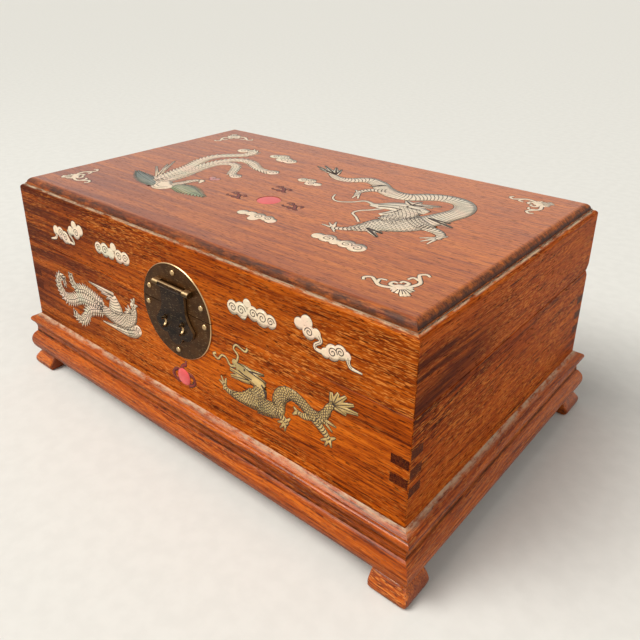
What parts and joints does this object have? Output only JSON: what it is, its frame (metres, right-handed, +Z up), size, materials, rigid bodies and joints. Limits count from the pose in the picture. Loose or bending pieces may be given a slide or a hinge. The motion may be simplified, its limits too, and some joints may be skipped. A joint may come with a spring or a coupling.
{
  "type": "inlaid wooden box",
  "caption": "Hinged hardwood box on a moulded plinth and bracket feet, with a raised lid, shell inlay of a dragon and a phoenix, and a round brass lock plate with a drop hasp.",
  "frame": {"origin": "middle of the footprint, on the plane the feet stand on", "axes": "+X to the right along the front, +Y from the front to the hinges, +Z up"},
  "size_m": [0.378, 0.249, 0.165],
  "materials": {
    "hardwood": "satin oiled",
    "brass": "aged",
    "dark_brass": "dark patina",
    "shell": "polished shell",
    "tinted_shell": "polished tinted shell",
    "coral": "polished"
  },
  "bodies": {
    "case": {"case_back": "hardwood", "case_bottom": "hardwood", "case_front": "hardwood", "case_left": "hardwood", "case_right": "hardwood", "foot_back_left": "hardwood", "foot_back_right": "hardwood", "foot_front_left": "hardwood", "foot_front_right": "hardwood", "hinge_nails_case": "brass", "inlay_front_dragon": "shell", "inlay_front_flames": "tinted_shell", "inlay_front_pearl": "coral", "inlay_front_phoenix": "shell", "lock_nails_lower": "brass", "lock_plate_lower": "brass", "lock_staple_left": "brass", "lock_staple_right": "brass", "plinth_back": "hardwood", "plinth_front": "hardwood", "plinth_left": "hardwood", "plinth_right": "hardwood", "hinge_left_case_leaf": "brass", "hinge_left_pin": "brass", "hinge_right_case_leaf": "brass", "hinge_right_pin": "brass"},
    "lid": {"hinge_left_lid_leaf": "brass", "hinge_nails_lid": "brass", "hinge_right_lid_leaf": "brass", "inlay_lid_cloud_inner_left": "shell", "inlay_lid_cloud_inner_right": "shell", "inlay_lid_cloud_outer_left": "shell", "inlay_lid_cloud_outer_right": "shell", "inlay_top_cloud_back": "shell", "inlay_top_cloud_back_left": "shell", "inlay_top_cloud_front": "shell", "inlay_top_cloud_front_right": "shell", "inlay_top_dragon": "shell", "inlay_top_flames": "tinted_shell", "inlay_top_flower": "tinted_shell", "inlay_top_pearl": "coral", "inlay_top_phoenix": "shell", "inlay_top_phoenix_left_wing": "shell", "inlay_top_phoenix_right_wing": "shell", "inlay_top_spray_back_left": "shell", "inlay_top_spray_back_right": "shell", "inlay_top_spray_front_left": "shell", "inlay_top_spray_front_right": "shell", "lid_back": "hardwood", "lid_front": "hardwood", "lid_left": "hardwood", "lid_right": "hardwood", "lid_top": "hardwood", "lock_hasp_bracket": "dark_brass", "lock_hasp_pin": "dark_brass", "lock_nails_upper": "brass", "lock_plate_upper": "brass"},
    "hasp": {"lock_hasp": "dark_brass"}
  },
  "joints": [
    {"name": "lid_hinge", "type": "hinge", "parent": "case", "child": "lid", "pos_m": [0, 0.1115, 0.1153], "axis": [-1, 0, 0], "range_deg": [0, 105]},
    {"name": "hasp_hinge", "type": "hinge", "parent": "lid", "child": "hasp", "pos_m": [0.004, -0.1187, 0.1304], "axis": [-1, 0, 0], "range_deg": [0, 160]}
  ]
}
